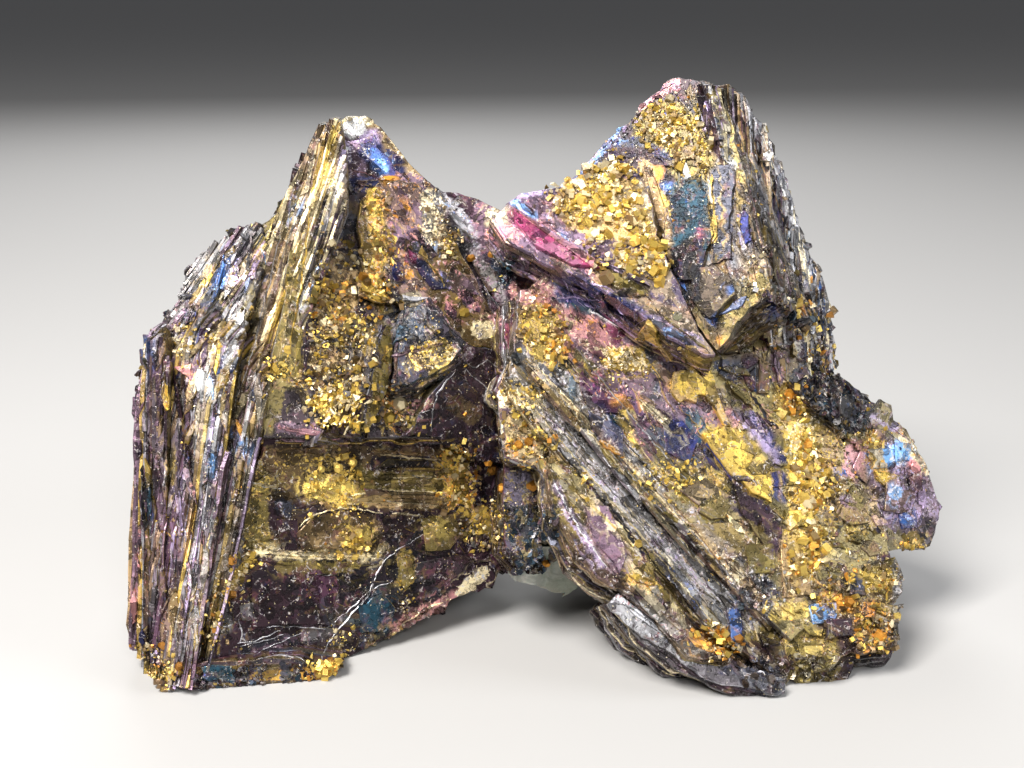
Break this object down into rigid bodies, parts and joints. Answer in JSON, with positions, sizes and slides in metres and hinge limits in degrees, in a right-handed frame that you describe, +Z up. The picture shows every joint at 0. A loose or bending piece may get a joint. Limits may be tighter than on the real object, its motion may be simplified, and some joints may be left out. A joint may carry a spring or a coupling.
{
  "type": "covellite mineral specimen",
  "caption": "Free-standing natural group of platy covellite crystal books with pyrite crusts, in two leaning lobes; rests on its level underside.",
  "frame": {"origin": "on the ground, under the middle of the group's box", "axes": "+X to the right of the front and along the longest extent, +Y towards the back, +Z up"},
  "size_m": [0.1217, 0.0836, 0.0795],
  "materials": {
    "covellite": "dark purple to blue-black metallic plates with gold, olive, pink and blue tarnish",
    "pyrite": "brassy gold crystal grains with bright faces",
    "quartz": "milky, slightly translucent"
  },
  "bodies": {
    "root": {"covellite": "covellite"}
  },
  "joints": []
}
